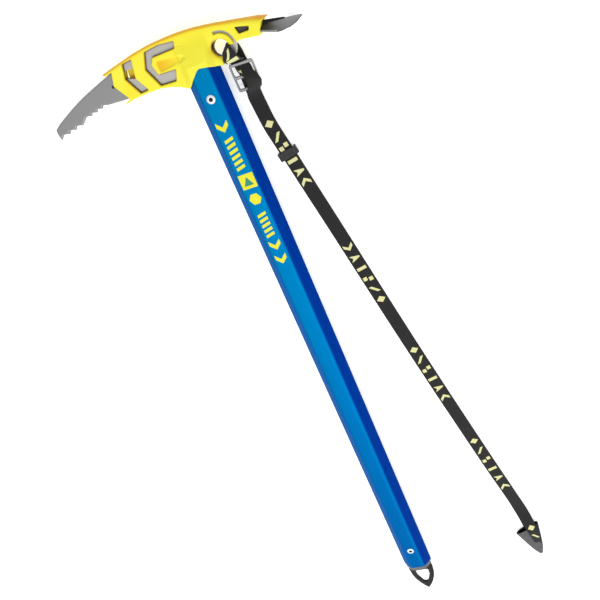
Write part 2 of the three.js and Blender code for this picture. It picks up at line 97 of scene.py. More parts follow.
# ---- materials ----
class Finish:
    """A node material: colour, roughness and bump all come from procedural nodes."""

    def __init__(self, name, source=None, **sockets):
        self.source = source
        self.material = bpy.data.materials.new(name)
        self.material.use_nodes = True
        self.tree = self.material.node_tree
        self.shader = self.tree.nodes["Principled BSDF"]
        for socket, value in sockets.items():
            self.shader.inputs[socket.replace("_", " ")].default_value = value

    def node(self, kind, inputs=None, **settings):
        """A new node. Each of its inputs is linked to a socket or set to a value."""
        made = self.tree.nodes.new("ShaderNode" + kind)
        for key, value in settings.items():
            setattr(made, key, value)
        for key, value in (inputs or {}).items():
            if isinstance(value, bpy.types.NodeSocket):
                self.tree.links.new(value, made.inputs[key])
            else:
                made.inputs[key].default_value = value
        return made

    def coords(self, source=None):
        """Own coordinates in metres: the piece's "place" attribute, or another source by name."""
        if source:
            return self.node("TexCoord").outputs[source]
        return self.node("Attribute", attribute_name="place").outputs["Vector"]

    def place(self, scale=(1, 1, 1)):
        mapping = self.node("Mapping", {"Vector": self.coords(self.source), "Scale": scale})
        return mapping.outputs["Vector"]

    def tint(self, name):
        """How strongly a painted shade is present at each place, 0 to 1."""
        return self.node("Attribute", attribute_name=name).outputs["Fac"]

    def noise(self, scale, detail=3, stretch=(1, 1, 1), roughness=0.5):
        inputs = {"Vector": self.place(stretch), "Scale": scale, "Detail": detail, "Roughness": roughness}
        return self.node("TexNoise", inputs).outputs["Fac"]

    def ramp(self, value, *stops):
        """Stops are pairs of a position and a colour or a plain level."""
        made = self.node("ValToRGB", {"Fac": value})
        while len(made.color_ramp.elements) < len(stops):
            made.color_ramp.elements.new(0.5)
        for element, (position, color) in zip(made.color_ramp.elements, stops):
            element.position = position
            element.color = color if isinstance(color, tuple) else (color, color, color, 1)
        return made.outputs["Color"]

    def math(self, operation, a, b=0.0):
        return self.node("Math", {0: a, 1: b}, operation=operation).outputs[0]

    def mix(self, factor, a, b):
        """A blend of two colours. The node has sockets for every kind of data; 6, 7 and 2 are the colours."""
        return self.node("Mix", {0: factor, 6: a, 7: b}, data_type="RGBA").outputs[2]

    def axis(self, letter, source=None):
        return self.node("SeparateXYZ", {"Vector": self.coords(source)}).outputs[letter]

    def band(self, value, low, high):
        """0 below low, 1 above high, a smooth step between."""
        inputs = {"Value": value, "From Min": low, "From Max": high}
        return self.node("MapRange", inputs, interpolation_type="SMOOTHSTEP").outputs["Result"]

    def base_color(self):
        """What the colour is made from so far."""
        return self.shader.inputs["Base Color"].links[0].from_socket

    def color(self, value):
        self.tree.links.new(value, self.shader.inputs["Base Color"])
        return self

    def rough(self, value):
        self.tree.links.new(value, self.shader.inputs["Roughness"])
        return self

    def bump(self, height, distance, strength=1.0):
        previous = self.shader.inputs["Normal"]
        made = self.node("Bump", {"Height": height, "Distance": distance, "Strength": strength})
        if previous.links:
            self.tree.links.new(previous.links[0].from_socket, made.inputs["Normal"])
        self.tree.links.new(made.outputs["Normal"], previous)
        return self


LIGHT = 1.3  # how much brighter than its own colour a surface shows in this scene


def rgba(r, g, b):
    """The surface colour that shows as a screen colour, 0 to 255, under this scene's light."""
    screen = (((v / 255 + 0.055) / 1.055) ** 2.4 if v > 10 else v / 255 / 12.92 for v in (r, g, b))
    return tuple(v / LIGHT for v in screen) + (1,)


def darker(color, share):
    return tuple(channel * share for channel in color[:3]) + (1,)


def yellow_plastic():
    f = Finish("yellow_plastic", IOR=1.46, Specular_IOR_Level=0.22)
    tone = f.ramp(f.noise(35, 4), (0.3, rgba(255, 240, 52)), (0.7, rgba(255, 248, 72)))
    # Painted shade: an orange where the first tint is set, and a near-black brown where the second is set.
    with_orange_shade = f.mix(f.tint("orange_shade"), tone, rgba(240, 158, 6))
    f.color(f.mix(f.tint("painted_shade"), with_orange_shade, rgba(58, 26, 10)))
    f.rough(f.ramp(f.noise(260, 5), (0.3, 0.4), (0.7, 0.55)))
    return f.bump(f.noise(1800, 2), 0.00004, 0.5).bump(f.noise(60, 2), 0.0002, 0.2)


def steel(name, light, dark, metallic, rough=(0.38, 0.56), grain=(1, 14, 1)):
    """Brushed steel: streaks between two tones, with paler blotches."""
    f = Finish(name, Metallic=metallic, Specular_IOR_Level=0.3)
    streak = f.noise(420, 5, grain, 0.65)
    blotch = f.noise(40, 4)
    base = f.mix(f.ramp(streak, (0.3, 0.0), (0.7, 1.0)), dark, light)
    f.color(f.mix(f.ramp(blotch, (0.35, 0.0), (0.75, 0.35)), base, light))
    f.rough(f.ramp(streak, (0.25, rough[0]), (0.75, rough[1])))
    return f.bump(streak, 0.00003, 0.5)


def blade_steel():
    """The pick is plain; the steel under the cover is painted paler, as painted light, and painted shade darkens
    it where it is shadowed; the tongue over the adze is near black.
    """
    f = steel("head_steel", rgba(158, 158, 159), rgba(145, 145, 146), 0.5)
    tongue = f.band(f.axis("X"), 0.0605, 0.0625)
    # Painted light: the steel from X -70 mm towards the adze is made paler.
    painted_light_under_cover = f.mix(f.band(f.axis("X"), -0.074, -0.07), f.base_color(), rgba(192, 190, 186))
    # Painted shade: dark brown along the window edges, in the adze window, round the hole and in the notch.
    with_painted_shade = f.mix(f.tint("painted_shade"), painted_light_under_cover, rgba(48, 30, 22))
    return f.color(f.mix(tongue, with_painted_shade, rgba(22, 20, 20)))


def adze_steel():
    """Painted shade makes it darker at the neck, and a painted highlight brighter along the lip on the near side.
    """
    f = steel("adze_steel", rgba(124, 124, 126), rgba(96, 96, 98), 0.6)
    # Painted shade towards the neck, then a painted highlight along the lip.
    shaded = f.mix(f.band(f.axis("X"), 0.059, 0.09), rgba(46, 46, 48), f.base_color())
    return f.color(f.mix(f.tint("lip"), shaded, rgba(196, 196, 198)))


def blue_anodised():
    """Painted shade: each long facet is painted its own depth of blue, the wide one deeper towards its lower end,
    with a painted sheen on its right part.
    """
    f = Finish("blue_anodised", Metallic=0.25, Specular_IOR_Level=0.0)
    rise = f.band(f.axis("Y"), -0.62, 0.0)
    x = f.axis("X")
    # Painted shade and painted sheen: these blues stand in for how light falls on each facet.
    wide = f.mix(rise, rgba(0, 98, 170), rgba(0, 128, 186))
    painted_sheen = f.mix(rise, rgba(0, 116, 188), rgba(0, 130, 192))
    lit = f.mix(f.band(x, 0.0035, 0.0082), wide, painted_sheen)
    with_left = f.mix(f.band(x, -0.0095, -0.0075), rgba(0, 92, 168), lit)
    painted_facet_shade = f.mix(f.band(x, 0.0078, 0.01), with_left, rgba(0, 52, 156))
    fleck = f.noise(900, 4, (1, 0.06, 1))
    f.color(f.mix(f.ramp(fleck, (0.35, 0.0), (0.8, 0.1)), painted_facet_shade, rgba(20, 140, 205)))
    f.rough(f.ramp(f.noise(500, 4, (1, 0.1, 1)), (0.3, 0.44), (0.75, 0.56)))
    return f.bump(fleck, 0.00002, 0.5)


def paint(name, color):
    f = Finish(name, IOR=1.45, Specular_IOR_Level=0.2)
    f.color(f.ramp(f.noise(500, 4), (0.3, darker(color, 0.9)), (0.6, color)))
    f.rough(f.ramp(f.noise(700, 3), (0.3, 0.45), (0.7, 0.6)))
    return f.bump(f.noise(2600, 2), 0.00001, 0.5)


def moulded(name, color, rough=(0.45, 0.65), depth=0.00006, source=None):
    f = Finish(name, source, IOR=1.48, Specular_IOR_Level=0.25)
    f.color(f.ramp(f.noise(120, 5), (0.3, darker(color, 0.8)), (0.75, color)))
    f.rough(f.ramp(f.noise(420, 4), (0.3, rough[0]), (0.7, rough[1])))
    return f.bump(f.noise(1500, 3), depth, 0.7)


def cone_rubber():
    """Paler on one side; painted shade makes it near black along the other edge and inside the mouth."""
    f = moulded("cone_rubber", rgba(100, 100, 104), (0.5, 0.7), 0.00008)
    # Painted shade along the far edge, then painted shade inside the mouth.
    shaded = f.mix(f.band(f.axis("X"), 0.004, 0.0085), f.base_color(), rgba(24, 24, 26))
    return f.color(f.mix(f.tint("painted_shade"), shaded, rgba(10, 10, 11)))


def webbing(name, color, dark):
    """A twill weave in the strap's own coordinates: U across it and V along it, in metres."""
    turn, rib, thread = 0.0017, 0.0011, 0.00085
    f = Finish(name, Sheen_Weight=0.12, Sheen_Roughness=0.5, IOR=1.4, Specular_IOR_Level=0.15)
    across = f.axis("X", "UV")
    along = f.axis("Y", "UV")
    zigzag = f.math("PINGPONG", across, turn)
    ribs = f.math("SINE", f.math("MULTIPLY", f.math("ADD", along, zigzag), math.tau / rib))
    threads = f.math("SINE", f.math("MULTIPLY", across, math.tau / thread))
    height = f.math("ADD", f.math("MULTIPLY", ribs, 0.6), f.math("MULTIPLY", threads, 0.4))
    fuzz = f.noise(2200, 3)
    level = f.math("ADD", f.math("MULTIPLY", height, 0.35), fuzz)
    f.color(f.mix(f.ramp(level, (0.2, 0.0), (0.85, 1.0)), dark, color))
    f.rough(f.ramp(fuzz, (0.3, 0.75), (0.7, 0.95)))
    return f.bump(height, 0.00022, 0.9).bump(fuzz, 0.0001, 0.4)


YELLOW = yellow_plastic()
HEAD_STEEL = blade_steel()
ADZE_STEEL = adze_steel()
SPIKE_STEEL = steel("spike_steel", rgba(48, 48, 49), rgba(28, 28, 29), 0.5, (0.45, 0.6))
RIVET_METAL = steel("rivet_metal", rgba(244, 246, 250), rgba(226, 229, 236), 0.4, (0.3, 0.45), (1, 1, 1))
# Painted shade: the dark core inside each rivet's bore.
RIVET_BORE_SHADE = moulded("rivet_bore_shade", rgba(14, 16, 22))
BUCKLE_METAL = steel("buckle_metal", rgba(166, 166, 168), rgba(120, 120, 122), 0.6, (0.35, 0.5))
BLUE = blue_anodised()
MARK_PAINT = paint("mark_paint", rgba(246, 240, 48))
MARK_SHADE = paint("mark_shade", rgba(60, 150, 130))
PLUG = moulded("plug_plastic", rgba(120, 122, 124), source="Object")
BLACK_PLASTIC = moulded("keeper_plastic", rgba(46, 46, 48), source="Object")
CONE = cone_rubber()
WEB = webbing("webbing", rgba(60, 58, 58), rgba(28, 27, 27))
WEB_MARK = webbing("webbing_marks", rgba(255, 255, 196), rgba(252, 248, 168))


# ---- mesh helpers: sizes here are in millimetres ----
def add_piece(name, vertices, faces, finish, pose=AXE, body="axe", smooth=35, uv=None, tints=None):
    """A mesh in the model's frame that remembers its own coordinates as the "place" attribute.

    Edges that turn by more than smooth degrees stay sharp."""
    local = np.array(vertices, float) * MM
    turn = np.array(pose)
    if np.linalg.det(turn[:3, :3]) < 0:
        faces = [tuple(reversed(face)) for face in faces]
    mesh = bpy.data.meshes.new(name)
    mesh.from_pydata((local @ turn[:3, :3].T + turn[:3, 3]).tolist(), [], faces)
    mesh.attributes.new("place", "FLOAT_VECTOR", "POINT").data.foreach_set("vector", local.ravel())
    for tint, amounts in (tints or {}).items():
        mesh.attributes.new(tint, "FLOAT", "POINT").data.foreach_set("value", np.array(amounts, float))
    if uv is not None:
        layer = mesh.uv_layers.new(name="UV")
        for loop in mesh.loops:
            layer.data[loop.index].uv = [c * MM for c in uv[loop.vertex_index]]
    mesh.validate()
    mesh.materials.append(finish.material)
    made = bpy.data.objects.new(name, mesh)
    bpy.context.scene.collection.objects.link(made)
    mesh.shade_smooth()
    mesh.set_sharp_from_angle(angle=math.radians(smooth))
    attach(made, body)
    return made


def rectangle(left, low, right, high):
    return [(left, low), (right, low), (right, high), (left, high)]


def rounded(points, reach=1.0, steps=4):
    """A closed outline with its corners rounded by the given reach along each side."""
    out = []
    corners = [np.array(p, float) for p in points]
    for i, corner in enumerate(corners):
        before, after = corners[i - 1], corners[(i + 1) % len(corners)]
        span_a, span_b = np.linalg.norm(before - corner), np.linalg.norm(after - corner)
        start = corner + (before - corner) * min(reach / span_a, 0.45)
        end = corner + (after - corner) * min(reach / span_b, 0.45)
        for k in range(steps + 1):
            t = k / steps
            out.append(start * (1 - t) ** 2 + corner * 2 * t * (1 - t) + end * t * t)
    return np.array(out)


def side_distance(a, b, x, y):
    """How far each place is from the straight line between two points."""
    d = b - a
    t = np.clip(((x - a[0]) * d[0] + (y - a[1]) * d[1]) / (d @ d), 0, 1)
    return np.hypot(x - a[0] - t * d[0], y - a[1] - t * d[1])


def line_distance(points, x, y):
    """How far each place is from an open line."""
    points = np.array(points, float)
    return np.min([side_distance(a, b, x, y) for a, b in zip(points[:-1], points[1:])], axis=0)


def depth_in(points, x, y):
    """How far each place lies inside a closed outline; negative outside."""
    points = np.asarray(points, float)
    best = np.full(x.shape, np.inf)
    inside = np.zeros(x.shape, bool)
    for a, b in zip(points, np.roll(points, -1, axis=0)):
        if np.hypot(*(b - a)) < 1e-6:
            continue
        best = np.minimum(best, side_distance(a, b, x, y))
        if a[1] != b[1]:
            side_x = (b[0] - a[0]) * (y - a[1]) / (b[1] - a[1]) + a[0]
            inside ^= ((a[1] > y) != (b[1] > y)) & (x < side_x)
    return np.where(inside, best, -best)


def cut_grid(depth, xs, ys):
    """The part of a grid where depth > 0: its places, its polygons and the edges along its rim."""
    places, keys = [], {}

    def vertex(key, x, y, d):
        if key not in keys:
            keys[key] = len(places)
            places.append((x, y, d))
        return keys[key]

    def crossing(a, b):
        key = (a, b) if a < b else (b, a)
        (i, j), (k, m) = key
        t = depth[i, j] / (depth[i, j] - depth[k, m])
        return vertex(key, xs[i] + (xs[k] - xs[i]) * t, ys[j] + (ys[m] - ys[j]) * t, 0.0)

    inside = depth > 0
    count = inside[:-1, :-1].astype(int) + inside[1:, :-1] + inside[1:, 1:] + inside[:-1, 1:]
    polygons, rims = [], []
    for i, j in zip(*np.nonzero(count)):
        corners = [(i, j), (i + 1, j), (i + 1, j + 1), (i, j + 1)]
        polygon, cuts = [], []
        for k, corner in enumerate(corners):
            after = corners[(k + 1) % 4]
            if inside[corner]:
                polygon.append(vertex(corner, xs[corner[0]], ys[corner[1]], depth[corner]))
            if inside[corner] != inside[after]:
                polygon.append(crossing(corner, after))
                cuts.append((len(polygon) - 1, bool(inside[corner])))
        polygons.append(polygon)
        for at, leaving in cuts:
            if leaving:
                rims.append((polygon[at], polygon[(at + 1) % len(polygon)]))
    return places, polygons, rims


def plate(name, finish, field, low, high, step, top, bottom, smooth=40, shades=None, **more):
    """A flat piece cut to where field(x, y) > 0. Its two faces are the heights top and bottom (x, y, depth).

    Each of the shades is a function of x, y, depth and height that gives a tint of 0 to 1."""
    xs = np.arange(low[0], high[0] + step, step)
    ys = np.arange(low[1], high[1] + step, step)
    places, polygons, rims = cut_grid(field(*np.meshgrid(xs, ys, indexing="ij")), xs, ys)
    x, y, d = np.array(places).T
    total = len(places)
    vertices = np.concatenate([np.stack([x, y, face(x, y, d)], 1) for face in (top, bottom)])
    faces = [tuple(p) for p in polygons] + [tuple(v + total for v in reversed(p)) for p in polygons]
    faces += [(b, a, a + total, b + total) for a, b in rims if a != b]
    twice = [np.tile(v, 2) for v in (x, y, d)]
    tints = {tint: np.clip(shade(*twice, vertices[:, 2]), 0, 1) for tint, shade in (shades or {}).items()}
    return add_piece(name, vertices, faces, finish, smooth=smooth, tints=tints, **more)


def mirrored(top):
    """The lower face of a plate that is the same on both sides."""
    return lambda x, y, d: -top(x, y, d)


def smoothstep(x, low, high):
    t = np.clip((x - low) / (high - low), 0, 1)
    return t * t * (3 - 2 * t)


def fillet(d, radius):
    """How much a face drops at a distance d from its edge, for an edge rounded to the given radius."""
    inner = np.clip(d / radius, 0, 1)
    return radius * (1 - np.sqrt(1 - (1 - inner) ** 2))


def bell(distance, width):
    """1 at distance 0, fading to nothing in about two widths."""
    return np.exp(-(distance / width) ** 2)


def smooth_max(a, b, k):
    """The larger of two heights, blended where they are within k of each other."""
    h = np.clip(0.5 + 0.5 * (a - b) / k, 0, 1)
    return b * (1 - h) + a * h + k * h * (1 - h)


def tube(name, rings, finish, cap=True, **more):
    """A skin over rings of points that all go round the same way."""
    count = len(rings[0])
    vertices = [p for ring in rings for p in ring]
    faces = []
    for r in range(len(rings) - 1):
        for i in range(count):
            a, b = r * count + i, r * count + (i + 1) % count
            faces.append((a, b, b + count, a + count))
    if cap:
        faces.append(tuple(range(count - 1, -1, -1)))
        faces.append(tuple(range((len(rings) - 1) * count, len(rings) * count)))
    return add_piece(name, vertices, faces, finish, **more)


def lathe(profile, middle_y, segments=48):
    """Rings about an axis along Z through (0, middle_y), from (radius, z) pairs."""
    angles = [math.tau * i / segments for i in range(segments)]
    return [[(r * math.cos(a), middle_y + r * math.sin(a), z) for a in angles] for r, z in profile]


# ---- the leash: X and Y from the hole in the head, Z up from the floor, in millimetres ----
# Stations: x, y, z, width, turn of the width in degrees.
LOOP = [
    (9.7, -24.4, 14.1, 14, -3), (9.2, -21.6, 13.6, 14, -3), (8.2, -19, 13.8, 14, -2),
    (7.4, -16.8, 14.6, 14, 0), (6.6, -15.5, 17.6, 14, 1), (6.1, -15.2, 21, 14, 2),
    (5.4, -13.9, 24.2, 14, 5), (4.9, -12.2, 25.8, 13.6, 9), (4, -9.6, 26.9, 13.6, 18),
    (3.4, -6.6, 27.4, 13.2, 34), (2.6, -3.8, 27, 11, 44), (2.3, -2.3, 24.4, 10.8, 45),
    (2.3, -2.3, 17.6, 11.2, 45), (2.7, -2.7, 15.4, 10.8, 46), (3.8, -4, 13.6, 12, 50),
    (6.4, -5.8, 13, 13, 52), (8.6, -7.8, 12.8, 14, 46), (8.6, -11.6, 12.2, 14, 28), (8.2, -16, 11, 14, 10),
    (8.6, -21, 9.2, 14, 2), (9.2, -25, 7.6, 14, 0), (9.3, -28, 6.6, 14, -2),
]
FRONT = [
    (9.7, -24.9, 14.4, 14, -3), (10.8, -27.6, 15.6, 14, -6), (13, -31, 17, 14, -10),
    (14.6, -35, 17.2, 14, -10), (14.4, -39, 15, 14, -6), (12.6, -42.6, 12, 14, 0), (10, -46, 9, 14, 3),
    (8.6, -49.6, 6.8, 14, 5), (8.3, -54, 5.2, 14, 6.5), (9, -64, 4.4, 14, 9), (10.6, -82, 4.3, 14, 10.5),
    (16.6, -114, 4.3, 14, 10.5), (24, -154, 3.9, 14, 10.5), (30.9, -191, 3, 14, 10.5),
    (55, -321, 2.7, 14, 10.8), (71, -404, 2.7, 14, 11.2), (87.5, -486, 2.7, 14, 11.6),
    (101.5, -554, 2.7, 14, 12.2), (111.8, -601, 2.7, 14, 12.4), (118.4, -632, 3.2, 14, 12.4),
    (121.6, -647.5, 7, 13.4, 12.2), (123.6, -658.5, 10.3, 13, 11), (124.9, -668, 10.4, 12, 9),
    (125.7, -676, 9.9, 10.4, 7), (126.2, -682, 9.4, 9, 5),
]
BACK = [
    (9.3, -28.5, 6.3, 14, -2), (9, -34, 4.5, 14, 0), (8.6, -41, 3.1, 14, 2), (8.3, -52, 2.6, 14, 6),
    (9, -64, 2.6, 14, 9), (10.6, -82, 2.6, 14, 10.5), (16.6, -114, 2.6, 14, 10.5),
    (24, -154, 2.2, 14, 10.5), (30.9, -191, 1.3, 14, 10.5), (55, -321, 1, 14, 10.8),
    (71, -404, 1, 14, 11.2), (87.5, -486, 1, 14, 11.6), (101.5, -554, 1, 14, 12.2),
    (113.9, -613, 1, 14, 11.6), (117.3, -632, 1.1, 14, 10), (119.3, -644, 1.6, 14, 8.6),
    (120.6, -655, 2.9, 13.2, 8), (121.6, -665, 3.8, 12.6, 8),
]
TAIL = [
    (7.6, -50, 0.9, 14, 6), (8.2, -64, 0.9, 14, 9), (10.3, -82, 0.9, 14, 10.5), (16.3, -114, 0.9, 14, 10.5),
    (21.1, -140, 0.9, 14, 10.5),
]
THICK = 1.3
WEB_WIDTH = 14
MARK_LIFT = 0.06


class Route:
    """A smooth line through a strap's stations, measured by its length."""

    def __init__(self, stations, fine=16):
        s = np.array(stations, float)
        ends = np.vstack([2 * s[0] - s[1], s, 2 * s[-1] - s[-2]])
        out = []
        for i in range(len(s) - 1):
            p0, p1, p2, p3 = ends[i:i + 4]
            pairs = ((p0, p1), (p1, p2), (p2, p3))
            knots = np.cumsum([0] + [max(np.linalg.norm(b[:3] - a[:3]), 1e-6) ** 0.5 for a, b in pairs])
            for t in np.linspace(knots[1], knots[2], fine, endpoint=False):
                a1 = self.between(p0, p1, knots[0], knots[1], t)
                a2 = self.between(p1, p2, knots[1], knots[2], t)
                a3 = self.between(p2, p3, knots[2], knots[3], t)
                b1 = self.between(a1, a2, knots[0], knots[2], t)
                b2 = self.between(a2, a3, knots[1], knots[3], t)
                out.append(self.between(b1, b2, knots[1], knots[2], t))
        out.append(s[-1])
        self.points = np.array(out)
        steps = np.linalg.norm(np.diff(self.points[:, :3], axis=0), axis=1)
        self.at = np.concatenate([[0], np.cumsum(steps)])
        self.length = self.at[-1]

    @staticmethod
    def between(a, b, ta, tb, t):
        return a * (tb - t) / (tb - ta) + b * (t - ta) / (tb - ta)

    def frame(self, distance):
        """Middle, across and up at a distance along the strap, and its width there."""
        *place, width, yaw = self.station(distance)
        reach = 0.6
        chord = self.station(distance + reach)[:3] - self.station(distance - reach)[:3]
        tangent = chord / np.linalg.norm(chord)
        across = np.array([math.cos(math.radians(yaw)), math.sin(math.radians(yaw)), 0])
        up = np.cross(across, -tangent)
        return np.array(place), across, up / np.linalg.norm(up), width

    def station(self, distance):
        return np.array([np.interp(distance, self.at, column) for column in self.points.T])

    def along(self, y):
        """The distance along the strap at which it passes a given Y."""
        return float(np.interp(-y, -self.points[:, 1], self.at))


def web_height(edge):
    """Half the webbing's thickness at an edge of 0, its middle line, to 1. Its selvedges are thicker."""
    selvedge = 0.9 + 0.1 * np.clip((edge - 0.7) / 0.15, 0, 1)
    corner = math.sqrt(max(0.0, 1 - max(0.0, (edge - 0.93) / 0.07) ** 2)) * 0.75 + 0.25
    return THICK / 2 * selvedge * corner


def strap(name, route, node, step=1.2):
    """Webbing: a flat band along a route."""
    count = int(route.length / step)
    section = [(u, 1) for u in np.linspace(1, -1, 13)] + [(u, -1) for u in np.linspace(-1, 1, 13)]
    rings, uv = [], []
    for distance in np.linspace(0, route.length, count + 1):
        centre, across, up, width = route.frame(distance)
        half = width / 2
        rings.append([centre + across * (u * half) + up * (face * web_height(abs(u))) for u, face in section])
        uv += [(u * half, distance) for u, _ in section]
    made = tube(name, rings, WEB, pose=LEASH, body="leash", smooth=60, uv=uv)
    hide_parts(node)
    return made


loop_route, front_route, back_route, tail_route = (Route(s) for s in (LOOP, FRONT, BACK, TAIL))
loop = strap("strap_loop", loop_route, "leash_head_loop", 0.6)
front = strap("strap_front", front_route, "leash_front_leg")
back = strap("strap_back", back_route, "leash_back_leg")
tail = strap("strap_tail", tail_route, "leash_tail")


def strap_mark(name, route, distance, outline, face=1):
    """A woven mark: a thin patch that follows the strap. Its convex outline is (across, along)."""
    vertices, faces, uv = [], [], []
    rows, columns, inset = 10, 4, 0.01
    low, high = outline[:, 1].min() + inset, outline[:, 1].max() - inset
    sides = list(zip(outline, np.roll(outline, -1, axis=0)))
    for i, v in enumerate(np.linspace(low, high, rows + 1)):
        crossed = [(a, b) for a, b in sides if (a[1] > v) != (b[1] > v)]
        cuts = [a[0] + (b[0] - a[0]) * (v - a[1]) / (b[1] - a[1]) for a, b in crossed]
        centre, across, up, width = route.frame(distance + v)
        for u in np.linspace(min(cuts), max(cuts), columns + 1):
            vertices.append(centre + across * u * width / WEB_WIDTH + up * face * (THICK / 2 + MARK_LIFT))
            uv.append((u, distance + v))
        for k in range(columns if i else 0):
            at = i * (columns + 1) + k
            faces.append((at - columns - 1, at - columns, at + 1, at))
    made = add_piece(name, vertices, faces, WEB_MARK, pose=LEASH, body="leash", uv=uv)


def woven_signs():
    """Plain signs made of convex parts: a diamond, a slash, two squares, a bar, an arrow, a chevron."""
    w = 5.1
    diamond = [[(-5, 0), (0, -4), (5, 0), (0, 4)]]
    slash = [[(-w, -4), (-1.7, -4), (w, 4), (1.7, 4)]]
    squares = [rectangle(-w, -3.2, -0.8, 1.2), rectangle(0.8, -1.2, w, 3.2)]
    bar = [rectangle(-w, -1.8, w, 1.8)]
    arrow = [[(-w, -3.7), (w, -0.7), (w, 1), (-2.3, 0)], [(-2.3, 0), (w, 1), (-w, 3.8)]]
    chevron_half = [(-w, -3.9), (0, 0.5), (0, 4.2), (-w, -0.2)]
    chevron = [chevron_half, [(-x, y) for x, y in chevron_half]]
    signs = (diamond, slash, squares, bar, arrow, chevron)
    return [[np.array(part, float) for part in sign] for sign in signs]


def strap_sign(name, route, distance, sign, scale=(1, 1), face=1):
    for k, part in enumerate(sign):
        strap_mark(f"{name}_{k}", route, distance, part * scale, face)


def strap_marks():
    """Four groups of six signs down the front leg, the second one upside down, and a few on the folds."""
    signs = woven_signs()
    groups = [(-81.2, -95.5, -106.4, -122, -134.5, -146), np.linspace(-227, -295, 6),
              np.linspace(-367, -438, 6), np.linspace(-509, -587, 6)]
    for g, places in enumerate(groups):
        ordered, flip = (signs[::-1], 1) if g == 1 else (signs, -1)
        for k, (y, sign) in enumerate(zip(places, ordered)):
            strap_sign(f"mark_{g}_{k}", front_route, front_route.along(y), sign, (1, flip))
    strap_sign("mark_cone_a", front_route, front_route.along(-656), signs[0])
    strap_sign("mark_cone_b", front_route, front_route.along(-670), signs[1])
    strap_sign("mark_fold_a", loop_route, 19.5, signs[3], (1.1, 1.1), -1)
    strap_sign("mark_fold_b", loop_route, 25.5, signs[1], (0.95, 0.8), -1)
    strap_sign("mark_hump", front_route, 3.2, [np.array([(-6.2, -2.2), (-3, -2.6), (-4.4, 1.6)])])


strap_marks()


# ---- leash hardware ----
def leash_pose(place, yaw, tip=0):
    """A pose on the leash: turned flat by yaw degrees, then tipped about its own X."""
    turned = Matrix.Rotation(math.radians(yaw), 4, "Z") @ Matrix.Rotation(math.radians(tip), 4, "X")
    return LEASH @ Matrix.Translation(Vector(place) * MM) @ turned


def make_buckle():
    """A flat three-bar slide with rounded bars."""
    frame_line = rounded(rectangle(-11.5, -15, 11.5, 15), 2.6, 6)
    slots = [rounded(rectangle(-9.6, y, 9.6, y + 10.5), 1.2) for y in (1.5, -12)]

    def field(x, y):
        return np.minimum(depth_in(frame_line, x, y), np.minimum(*(-depth_in(slot, x, y) for slot in slots)))

    def top(x, y, d):
        return 1.1 - fillet(d, 0.75)

    made = plate("buckle_slide", BUCKLE_METAL, field, (-12, -15.5), (12, 15.5), 0.25, top, mirrored(top),
                 smooth=50, pose=leash_pose((8.6, -31.3, 11.8), -4, 24), body="leash")
    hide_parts("leash_buckle")
    return made


CONE_LENGTH, CONE_SKEW, CONE_MIDDLE, CONE_POINTS = 49, 0.2, 4.5, 72


def cone_ring(along, shrink):
    """A ring of the cone, from its mouth, where along is 0, to its rounded tip at 1. The mouth is askew."""
    taper = math.sqrt(max(0.0, 1 - along ** 6))
    half = (15.4 - 11.2 * along) * taper - shrink
    height = (4.4 - 1.5 * along) * taper - shrink * 0.8
    ring = []
    for angle in np.linspace(0, math.tau, CONE_POINTS, endpoint=False):
        x = half * math.copysign(abs(math.cos(angle)) ** 0.8, math.cos(angle))
        y = -CONE_LENGTH * along + CONE_SKEW * x * (1 - along)
        ring.append((x, y, CONE_MIDDLE + height * math.sin(angle)))
    return ring


def make_cone():
    """A flattened hollow cone with a rolled lip round its mouth, dark inside with painted shade."""
    wall = 1.4
    inner = [cone_ring(a, wall) for a in np.linspace(0.36, 0.02, 12)]
    lip = [cone_ring(-0.004, 1.0), cone_ring(-0.01, 0.6), cone_ring(-0.004, 0.2)]
    outer = [cone_ring(a, 0) for a in (*np.linspace(0.01, 0.84, 36), 0.88, 0.92, 0.95, 0.97, 0.985, 0.994)]
    # Painted shade inside the mouth, fading out over the lip.
    painted_shade = np.repeat([1.0] * len(inner) + [0.4, 0.1, 0] + [0.0] * len(outer), CONE_POINTS)
    pose = leash_pose((118, -660, 0), 9)
    made = tube("cone", inner + lip + outer, CONE, pose=pose, body="leash", smooth=70, tints={"painted_shade": painted_shade})
    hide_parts("leash_end_cone")
    return made


buckle, cone = make_buckle(), make_cone()


# ---- head: the leash hole and the cover's windows shape both the blade and the cover ----
HOLE = np.array([25.5, 37.3])
BLADE_EYE, COVER_EYE = 7.25, 7.35  # radii of the hole in each
RING_OUTER, RING_INNER = 14.8, 12.2  # radii between which the blade shows as a ring
SHOULDER = 31.3  # where the head rests, just above the shaft's end
FRONT_WINDOW, REAR_WINDOW, ADZE_WINDOW = WINDOWS = [rounded(window) for window in (
    [(-67.4, 56), (-57, 56.9), (-59, 49.1), (-61, 40.2), (-53.9, 27.1), (-62.5, 26.6), (-70.9, 43.3),
     (-68.9, 49.4)],
    [(-42.6, 58.3), (-28.2, 59.5), (-12.4, 57.5), (-14.3, 51.5), (-37.6, 51.5), (-41.3, 45.6), (-38.8, 36),
     (-21.3, 34.9), (-25.3, 25.2), (-41.2, 26.3), (-48.6, 43.9)],
    [(44, 48.9), (57, 45.4), (55.6, 42.2), (45.6, 42.4)],
)]


def from_hole(x, y):
    return np.hypot(x - HOLE[0], y - HOLE[1])


def window_edge(x, y):
    """How far each place is from the edges of the two large windows."""
    return np.minimum(np.abs(depth_in(FRONT_WINDOW, x, y)), np.abs(depth_in(REAR_WINDOW, x, y)))


def arc(radius, start, end, steps):
    """Points round the leash hole, from one angle to another."""
    angles = np.radians(np.linspace(start, end, steps + 1))
    return [(HOLE[0] + radius * math.cos(a), HOLE[1] + radius * math.sin(a)) for a in angles]


# ---- blade ----
def teeth(x, y, count, pitch, depth):
    """Saw teeth along the pick's lower edge, which rises slightly towards the shaft."""
    rise = 0.19
    out = []
    for i in range(count):
        left, root = x + i * pitch, y + i * pitch * rise
        out += [(left, root + depth), (left + pitch * 0.5, root + depth * 0.75), (left + pitch * 0.82, root)]
    return out


